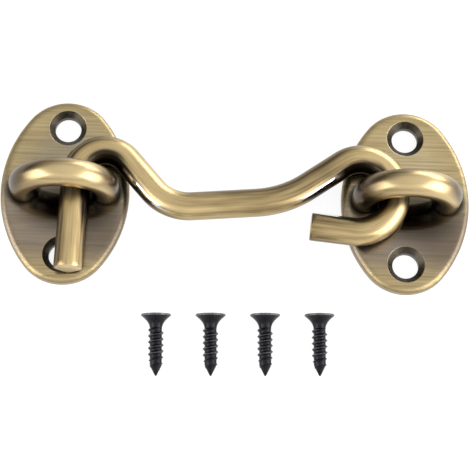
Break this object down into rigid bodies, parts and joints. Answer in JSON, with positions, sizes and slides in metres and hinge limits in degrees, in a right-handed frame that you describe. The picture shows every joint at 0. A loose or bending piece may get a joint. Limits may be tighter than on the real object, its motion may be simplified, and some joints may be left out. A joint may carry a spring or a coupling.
{
  "type": "hook and eye latch",
  "caption": "Cabin hook latch: a bent round-rod hook turns on the eye of one oval plate and drops through the eye of another, with loose countersunk screws.",
  "frame": {"origin": "centre of the back face of the pivot plate, which is the plate that the hook's loop stays on", "axes": "+X along the latch, from the catch plate to the pivot plate; +Y across the latch, the way the hook lifts; +Z out of the mounting surface"},
  "size_m": [0.0987, 0.059, 0.0168],
  "materials": {
    "plate_brass": "satin antique brass, brushed along the latch, with a darker patina",
    "eye_brass": "polished antique brass",
    "hook_brass": "polished antique brass, brown in the bends",
    "screw_black": "black phosphate, slightly oily"
  },
  "bodies": {
    "pivot": {"pivot_plate": "plate_brass", "pivot_eye": "eye_brass"},
    "hook": {"hook": "hook_brass"},
    "catch": {"catch_plate": "plate_brass", "catch_eye": "eye_brass"},
    "screw_1": {"screw_1": "screw_black"},
    "screw_2": {"screw_2": "screw_black"},
    "screw_3": {"screw_3": "screw_black"},
    "screw_4": {"screw_4": "screw_black"}
  },
  "joints": [
    {"name": "hook_swing", "type": "hinge", "parent": "pivot", "child": "hook", "pos_m": [-0.0086, 0, 0.00565], "axis": [0, 0, -1], "range_deg": [-1.5, 150]},
    {"name": "catch_away", "type": "slide", "parent": "pivot", "child": "catch", "axis": [0, -1, 0], "range_m": [0, 0.026]},
    {"name": "screw_1_lift", "type": "slide", "parent": "pivot", "child": "screw_1", "axis": [0, 0, 1], "range_m": [0, 0.02]},
    {"name": "screw_2_lift", "type": "slide", "parent": "pivot", "child": "screw_2", "axis": [0, 0, 1], "range_m": [0, 0.02]},
    {"name": "screw_3_lift", "type": "slide", "parent": "pivot", "child": "screw_3", "axis": [0, 0, 1], "range_m": [0, 0.02]},
    {"name": "screw_4_lift", "type": "slide", "parent": "pivot", "child": "screw_4", "axis": [0, 0, 1], "range_m": [0, 0.02]}
  ]
}
